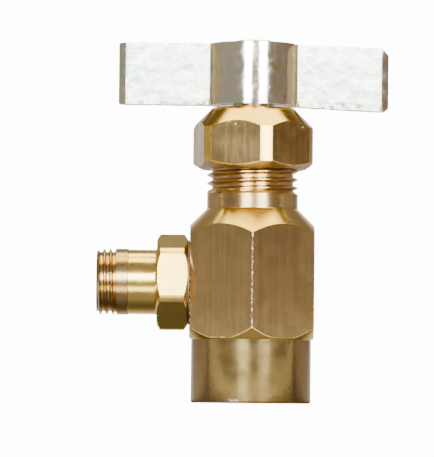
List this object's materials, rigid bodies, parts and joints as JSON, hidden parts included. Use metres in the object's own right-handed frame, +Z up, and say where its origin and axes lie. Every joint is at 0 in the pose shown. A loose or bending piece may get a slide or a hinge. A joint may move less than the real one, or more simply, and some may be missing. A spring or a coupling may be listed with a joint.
{
  "type": "needle valve",
  "caption": "Angle-pattern brass needle valve with a hexagon body, screwed side outlet, packing nut and folded steel wing handle on a rising stem.",
  "frame": {"origin": "centre of the inlet boss's lower face", "axes": "+Z up along the stem, -X out along the side outlet, handle along X, valve shut at rest"},
  "size_m": [0.0701, 0.0346, 0.0877],
  "materials": {
    "body_brass": "turned and milled bar, dull with handling marks",
    "nut_brass": "turned hexagon bar, satin",
    "adapter_brass": "turned, brighter",
    "zinc_plate": "zinc plate with a faint yellow passivate",
    "stainless": "turned and ground",
    "copper": "soft copper sealing washer",
    "ptfe": "white PTFE",
    "rubber": "black nitrile"
  },
  "bodies": {
    "valve": {"valve_body": "body_brass", "outlet_seal_washer": "copper", "outlet_adapter": "adapter_brass", "packing_washer": "body_brass", "packing_ring_lower": "ptfe", "packing_ring_middle": "ptfe", "packing_ring_upper": "ptfe", "gland": "body_brass", "packing_nut": "nut_brass", "stem_wiper": "rubber"},
    "needle": {"needle": "stainless", "thrust_ball": "stainless"},
    "spindle": {"stem": "stainless", "needle_retainer": "stainless", "handle_hub": "zinc_plate", "handle_band": "zinc_plate", "handle_washer": "zinc_plate"}
  },
  "joints": [
    {"name": "needle_lift", "type": "slide", "parent": "valve", "child": "needle", "axis": [0, 0, 1], "range_m": [0, 0.003]},
    {"name": "stem_turn", "type": "hinge", "parent": "needle", "child": "spindle", "pos_m": [0, 0, 0.05], "axis": [0, 0, 1], "range_deg": [0, 720]}
  ],
  "couplings": [
    {"joint": "stem_turn", "follows": "needle_lift", "rad_per_m": 4188.8}
  ]
}
